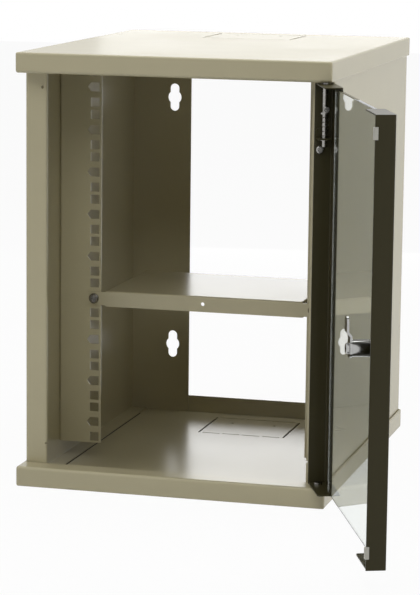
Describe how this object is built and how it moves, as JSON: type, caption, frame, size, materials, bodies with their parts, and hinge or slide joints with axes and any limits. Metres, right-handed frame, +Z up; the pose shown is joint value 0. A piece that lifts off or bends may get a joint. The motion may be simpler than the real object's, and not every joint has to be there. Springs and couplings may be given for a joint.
{
  "type": "wall mount network cabinet",
  "caption": "Wall mount cabinet for 10 inch network equipment, with rack rails, a shelf and a lockable glass door standing open.",
  "frame": {"origin": "middle of the wall fixing pattern, on the plane that lies against the wall", "axes": "+Y towards the wall, +X to the right seen from the front, +Z up"},
  "size_m": [0.4389, 0.6847, 0.442],
  "materials": {
    "cabinet_paint": "satin",
    "door_paint": "satin",
    "zinc_plate": "satin",
    "lock_chrome": "polished",
    "clear_glass": "clear",
    "dark_tape": "matte",
    "soft_bumper": "matte"
  },
  "bodies": {
    "cabinet": {"base_tray": "cabinet_paint", "top_cover": "cabinet_paint", "left_side_panel": "cabinet_paint", "right_side_panel": "cabinet_paint", "left_rack_rail": "cabinet_paint", "right_rack_rail": "cabinet_paint", "left_rail_studs": "zinc_plate", "right_rail_studs": "zinc_plate", "left_rail_nuts": "zinc_plate", "right_rail_nuts": "zinc_plate", "shelf": "cabinet_paint", "shelf_screws": "zinc_plate", "cage_nuts": "zinc_plate", "nut_cages": "zinc_plate", "hinge_washer": "dark_tape"},
    "door": {"door_hinge_stile": "door_paint", "door_handle_stile": "door_paint", "door_glass": "clear_glass", "hinge_side_tape": "dark_tape", "handle_side_tape": "dark_tape", "upper_hinge_bracket": "zinc_plate", "hinge_bracket_screw": "zinc_plate", "lower_hinge_pin": "zinc_plate", "lock_body": "lock_chrome", "lock_nut": "lock_chrome", "door_bumpers": "soft_bumper", "hinge_spring": "zinc_plate"},
    "hinge_pin": {"upper_hinge_pin": "zinc_plate", "hinge_pin_clip": "zinc_plate"},
    "lock": {"lock_plug": "lock_chrome", "lock_cam": "lock_chrome", "lock_cam_screw": "lock_chrome"}
  },
  "joints": [
    {"name": "door_hinge", "type": "hinge", "parent": "cabinet", "child": "door", "pos_m": [0.1524, -0.3902, 0], "axis": [0, 0, 1], "range_deg": [-112, 68]},
    {"name": "hinge_pin_slide", "type": "slide", "parent": "door", "child": "hinge_pin", "axis": [0, 0, 1], "range_m": [-0.0048, 0], "stiffness_N_per_m": 400, "springref_m": 0.001, "deforming": ["hinge_spring"]},
    {"name": "lock_turn", "type": "hinge", "parent": "door", "child": "lock", "pos_m": [0.26578, -0.6452, -0.0105], "axis": [0.9272, 0.3746, 0], "range_deg": [0, 90]}
  ]
}
